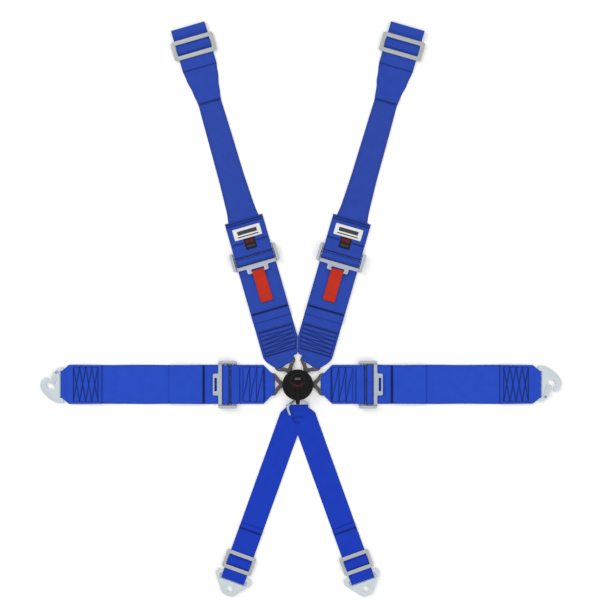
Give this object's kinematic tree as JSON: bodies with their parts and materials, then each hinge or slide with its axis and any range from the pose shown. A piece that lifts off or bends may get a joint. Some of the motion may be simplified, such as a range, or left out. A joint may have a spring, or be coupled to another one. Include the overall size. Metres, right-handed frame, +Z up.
{
  "type": "racing harness",
  "caption": "Six-point racing harness with a cam-lock buckle, snap-hook lap belts, wrap-around shoulder belts and a V-shaped anti-submarine strap.",
  "frame": {"origin": "centre of the buckle's underside", "axes": "+X towards the wearer's left-hand lap belt as laid out (image right), +Y along the shoulder belts, +Z up from the bench through the buckle"},
  "size_m": [1.0156, 1.1211, 0.029],
  "materials": {
    "webbing_blue": "woven polyester, royal blue",
    "webbing_shoulder": "woven polyester, slightly greyer blue",
    "tab_red": "woven nylon, red",
    "label_white": "printed-label satin, blank",
    "tag_black": "woven tag",
    "steel": "satin zinc-plated steel",
    "tongue_grey": "dark grey phosphated steel",
    "knob_black": "satin black anodised aluminium",
    "badge": "domed resin badge",
    "spring_steel": "bright spring wire"
  },
  "bodies": {
    "buckle": {"housing_base": "knob_black", "housing_top": "knob_black", "housing_screws": "steel", "pivot_post": "steel", "return_spring": "spring_steel", "pin_springs": "spring_steel"},
    "knob": {"cam_plate": "steel", "knob_disc": "knob_black", "knob_lever": "knob_black", "knob_badge": "badge", "knob_screw": "steel"},
    "pins": {"latch_pins": "steel"},
    "sub_tongue": {"sub_tongue": "steel"},
    "sub_strap": {"sub_apex_strap": "webbing_blue"},
    "lap_left_tongue": {"lap_tongue_left": "tongue_grey"},
    "lap_left_inner": {"lap_inner_strap_left": "webbing_blue"},
    "lap_left_adjuster": {"lap_adjuster_left": "steel"},
    "lap_left_grip": {"lap_grip_bar_left": "steel"},
    "lap_left_outer": {"lap_outer_strap_left": "webbing_blue"},
    "lap_left_hook": {"lap_hook_left": "steel", "lap_gate_rivet_left": "steel"},
    "lap_left_gate": {"lap_gate_left": "steel"},
    "shoulder_left_tongue": {"shoulder_tongue_left": "tongue_grey"},
    "shoulder_left_root": {"shoulder_root_strap_left": "webbing_shoulder"},
    "shoulder_left_lower": {"shoulder_lower_strap_left": "webbing_shoulder"},
    "shoulder_left_grip": {"shoulder_grip_bar_left": "steel"},
    "shoulder_left_adjuster": {"shoulder_adjuster_left": "steel"},
    "shoulder_left_pull_tab": {"pull_tab_left": "tab_red"},
    "shoulder_left_upper": {"label_strap_left": "webbing_shoulder", "blank_label_left": "label_white", "woven_tag_left": "tag_black"},
    "shoulder_left_belt": {"narrow_belt_left": "webbing_shoulder", "wrap_strap_left": "webbing_shoulder", "shoulder_slide_left": "steel"},
    "sub_left_leg": {"sub_leg_strap_left": "webbing_blue", "sub_slide_left": "steel"},
    "sub_left_plate": {"sub_end_plate_left": "steel"},
    "lap_right_tongue": {"lap_tongue_right": "tongue_grey"},
    "lap_right_inner": {"lap_inner_strap_right": "webbing_blue"},
    "lap_right_adjuster": {"lap_adjuster_right": "steel"},
    "lap_right_grip": {"lap_grip_bar_right": "steel"},
    "lap_right_outer": {"lap_outer_strap_right": "webbing_blue"},
    "lap_right_hook": {"lap_hook_right": "steel", "lap_gate_rivet_right": "steel"},
    "lap_right_gate": {"lap_gate_right": "steel"},
    "shoulder_right_tongue": {"shoulder_tongue_right": "tongue_grey"},
    "shoulder_right_root": {"shoulder_root_strap_right": "webbing_shoulder"},
    "shoulder_right_lower": {"shoulder_lower_strap_right": "webbing_shoulder"},
    "shoulder_right_grip": {"shoulder_grip_bar_right": "steel"},
    "shoulder_right_adjuster": {"shoulder_adjuster_right": "steel"},
    "shoulder_right_pull_tab": {"pull_tab_right": "tab_red"},
    "shoulder_right_upper": {"label_strap_right": "webbing_shoulder", "blank_label_right": "label_white", "woven_tag_right": "tag_black"},
    "shoulder_right_belt": {"narrow_belt_right": "webbing_shoulder", "wrap_strap_right": "webbing_shoulder", "shoulder_slide_right": "steel"},
    "sub_right_leg": {"sub_leg_strap_right": "webbing_blue", "sub_slide_right": "steel"},
    "sub_right_plate": {"sub_end_plate_right": "steel"}
  },
  "joints": [
    {"name": "knob_turn", "type": "hinge", "parent": "buckle", "child": "knob", "pos_m": [0, 0, 0.022], "axis": [0, 0, 1], "range_deg": [0, 30], "stiffness_Nm_per_rad": 0.25, "springref_deg": -22.92},
    {"name": "pins_lift", "type": "slide", "parent": "buckle", "child": "pins", "axis": [0, 0, 1], "range_m": [0, 0.0036], "deforming": ["pin_springs"]},
    {"name": "lap_left_tongue_swivel", "type": "hinge", "parent": "buckle", "child": "lap_left_tongue", "pos_m": [-0.0205, 0, 0.0035], "axis": [0, 0, 1], "range_deg": [-5, 5]},
    {"name": "lap_left_strap_lift", "type": "hinge", "parent": "lap_left_tongue", "child": "lap_left_inner", "pos_m": [-0.0478, 0, 0.0035], "axis": [0, 1, 0], "range_deg": [-20, 60]},
    {"name": "lap_left_adjuster_tilt", "type": "hinge", "parent": "lap_left_inner", "child": "lap_left_adjuster", "pos_m": [-0.1262, 0, 0.005], "axis": [0, 1, 0], "range_deg": [0, 35]},
    {"name": "lap_left_grip_slide", "type": "slide", "parent": "lap_left_adjuster", "child": "lap_left_grip", "axis": [1, 0, 0], "range_m": [0, 0.0012]},
    {"name": "lap_left_outer_drop", "type": "hinge", "parent": "lap_left_grip", "child": "lap_left_outer", "pos_m": [-0.1396, 0, 0.007], "axis": [0, -1, 0], "range_deg": [0, 60]},
    {"name": "lap_left_hook_swing", "type": "hinge", "parent": "lap_left_outer", "child": "lap_left_hook", "pos_m": [-0.4585, 0, 0.0035], "axis": [0, 1, 0], "range_deg": [-60, 60]},
    {"name": "lap_left_gate_turn", "type": "hinge", "parent": "lap_left_hook", "child": "lap_left_gate", "pos_m": [-0.47, 0.024, 0.006], "axis": [0, 0, 1], "range_deg": [0, 22], "stiffness_Nm_per_rad": 0.05, "springref_deg": -11.46},
    {"name": "shoulder_left_tongue_swivel", "type": "hinge", "parent": "buckle", "child": "shoulder_left_tongue", "pos_m": [-0.01056, 0.01757, 0.0035], "axis": [0, 0, 1], "range_deg": [0, 4.5]},
    {"name": "shoulder_left_root_lift", "type": "hinge", "parent": "shoulder_left_tongue", "child": "shoulder_left_root", "pos_m": [-0.02462, 0.04097, 0.0035], "axis": [0.8572, 0.515, 0], "range_deg": [-12, 12]},
    {"name": "shoulder_left_fold", "type": "hinge", "parent": "shoulder_left_root", "child": "shoulder_left_lower", "pos_m": [-0.04954, 0.12687, 0.00095], "axis": [0.9608, 0.2773, 0], "range_deg": [-15, 40]},
    {"name": "shoulder_left_adjuster_tilt", "type": "hinge", "parent": "shoulder_left_lower", "child": "shoulder_left_grip", "pos_m": [-0.0834, 0.24418, 0.007], "axis": [-0.9608, -0.2773, 0], "range_deg": [0, 35]},
    {"name": "shoulder_left_grip_slide", "type": "slide", "parent": "shoulder_left_grip", "child": "shoulder_left_adjuster", "axis": [0.2773, -0.9608, 0], "range_m": [0, 0.0012]},
    {"name": "shoulder_left_tab_lift", "type": "hinge", "parent": "shoulder_left_adjuster", "child": "shoulder_left_pull_tab", "pos_m": [-0.07686, 0.22151, 0.007], "axis": [-0.9608, -0.2773, 0], "range_deg": [0, 110]},
    {"name": "shoulder_left_upper_lift", "type": "hinge", "parent": "shoulder_left_adjuster", "child": "shoulder_left_upper", "pos_m": [-0.08712, 0.25706, 0.005], "axis": [0.9608, 0.2773, 0], "range_deg": [-20, 35]},
    {"name": "shoulder_left_bend", "type": "hinge", "parent": "shoulder_left_upper", "child": "shoulder_left_belt", "pos_m": [-0.10622, 0.32325, 0.00095], "axis": [0.9608, 0.2773, 0], "range_deg": [-60, 10]},
    {"name": "sub_left_leg_lift", "type": "hinge", "parent": "sub_strap", "child": "sub_left_leg", "pos_m": [-0.03252, -0.11993, 0.00095], "axis": [-0.9409, 0.3387, 0], "range_deg": [-60, 30]},
    {"name": "sub_left_plate_swing", "type": "hinge", "parent": "sub_left_leg", "child": "sub_left_plate", "pos_m": [-0.12625, -0.38027, 0.0035], "axis": [-0.9409, 0.3387, 0], "range_deg": [-80, 80]},
    {"name": "lap_right_tongue_swivel", "type": "hinge", "parent": "buckle", "child": "lap_right_tongue", "pos_m": [0.0205, 0, 0.0035], "axis": [0, 0, 1], "range_deg": [-5, 5]},
    {"name": "lap_right_strap_lift", "type": "hinge", "parent": "lap_right_tongue", "child": "lap_right_inner", "pos_m": [0.0478, 0, 0.0035], "axis": [0, -1, 0], "range_deg": [-20, 60]},
    {"name": "lap_right_adjuster_tilt", "type": "hinge", "parent": "lap_right_inner", "child": "lap_right_adjuster", "pos_m": [0.1262, 0, 0.005], "axis": [0, -1, 0], "range_deg": [0, 35]},
    {"name": "lap_right_grip_slide", "type": "slide", "parent": "lap_right_adjuster", "child": "lap_right_grip", "axis": [-1, 0, 0], "range_m": [0, 0.0012]},
    {"name": "lap_right_outer_drop", "type": "hinge", "parent": "lap_right_grip", "child": "lap_right_outer", "pos_m": [0.1396, 0, 0.007], "axis": [0, 1, 0], "range_deg": [0, 60]},
    {"name": "lap_right_hook_swing", "type": "hinge", "parent": "lap_right_outer", "child": "lap_right_hook", "pos_m": [0.4705, 0, 0.0035], "axis": [0, -1, 0], "range_deg": [-60, 60]},
    {"name": "lap_right_gate_turn", "type": "hinge", "parent": "lap_right_hook", "child": "lap_right_gate", "pos_m": [0.482, -0.024, 0.006], "axis": [0, 0, 1], "range_deg": [0, 22], "stiffness_Nm_per_rad": 0.05, "springref_deg": -11.46},
    {"name": "shoulder_right_tongue_swivel", "type": "hinge", "parent": "buckle", "child": "shoulder_right_tongue", "pos_m": [0.01056, 0.01757, 0.0035], "axis": [0, 0, -1], "range_deg": [0, 4.5]},
    {"name": "shoulder_right_root_lift", "type": "hinge", "parent": "shoulder_right_tongue", "child": "shoulder_right_root", "pos_m": [0.02462, 0.04097, 0.0035], "axis": [0.8572, -0.515, 0], "range_deg": [-12, 12]},
    {"name": "shoulder_right_fold", "type": "hinge", "parent": "shoulder_right_root", "child": "shoulder_right_lower", "pos_m": [0.04954, 0.12687, 0.00095], "axis": [0.9608, -0.2773, 0], "range_deg": [-15, 40]},
    {"name": "shoulder_right_adjuster_tilt", "type": "hinge", "parent": "shoulder_right_lower", "child": "shoulder_right_grip", "pos_m": [0.0834, 0.24418, 0.007], "axis": [-0.9608, 0.2773, 0], "range_deg": [0, 35]},
    {"name": "shoulder_right_grip_slide", "type": "slide", "parent": "shoulder_right_grip", "child": "shoulder_right_adjuster", "axis": [-0.2773, -0.9608, 0], "range_m": [0, 0.0012]},
    {"name": "shoulder_right_tab_lift", "type": "hinge", "parent": "shoulder_right_adjuster", "child": "shoulder_right_pull_tab", "pos_m": [0.07686, 0.22151, 0.007], "axis": [-0.9608, 0.2773, 0], "range_deg": [0, 110]},
    {"name": "shoulder_right_upper_lift", "type": "hinge", "parent": "shoulder_right_adjuster", "child": "shoulder_right_upper", "pos_m": [0.08712, 0.25706, 0.005], "axis": [0.9608, -0.2773, 0], "range_deg": [-20, 35]},
    {"name": "shoulder_right_bend", "type": "hinge", "parent": "shoulder_right_upper", "child": "shoulder_right_belt", "pos_m": [0.10622, 0.32325, 0.00095], "axis": [0.9608, -0.2773, 0], "range_deg": [-60, 10]},
    {"name": "sub_right_leg_lift", "type": "hinge", "parent": "sub_strap", "child": "sub_right_leg", "pos_m": [0.03252, -0.11993, 0.00095], "axis": [-0.9409, -0.3387, 0], "range_deg": [-60, 30]},
    {"name": "sub_right_plate_swing", "type": "hinge", "parent": "sub_right_leg", "child": "sub_right_plate", "pos_m": [0.12625, -0.38027, 0.0035], "axis": [-0.9409, -0.3387, 0], "range_deg": [-80, 80]},
    {"name": "sub_tongue_swivel", "type": "hinge", "parent": "buckle", "child": "sub_tongue", "pos_m": [0, -0.0205, 0.0035], "axis": [0, 0, 1], "range_deg": [-5, 5]},
    {"name": "sub_strap_drop", "type": "hinge", "parent": "sub_tongue", "child": "sub_strap", "pos_m": [0, -0.0427, 0.0035], "axis": [-1, 0, 0], "range_deg": [-60, 2]}
  ],
  "couplings": [
    {"joint": "pins_lift", "follows": "knob_turn", "m_per_rad": 0.00687}
  ]
}
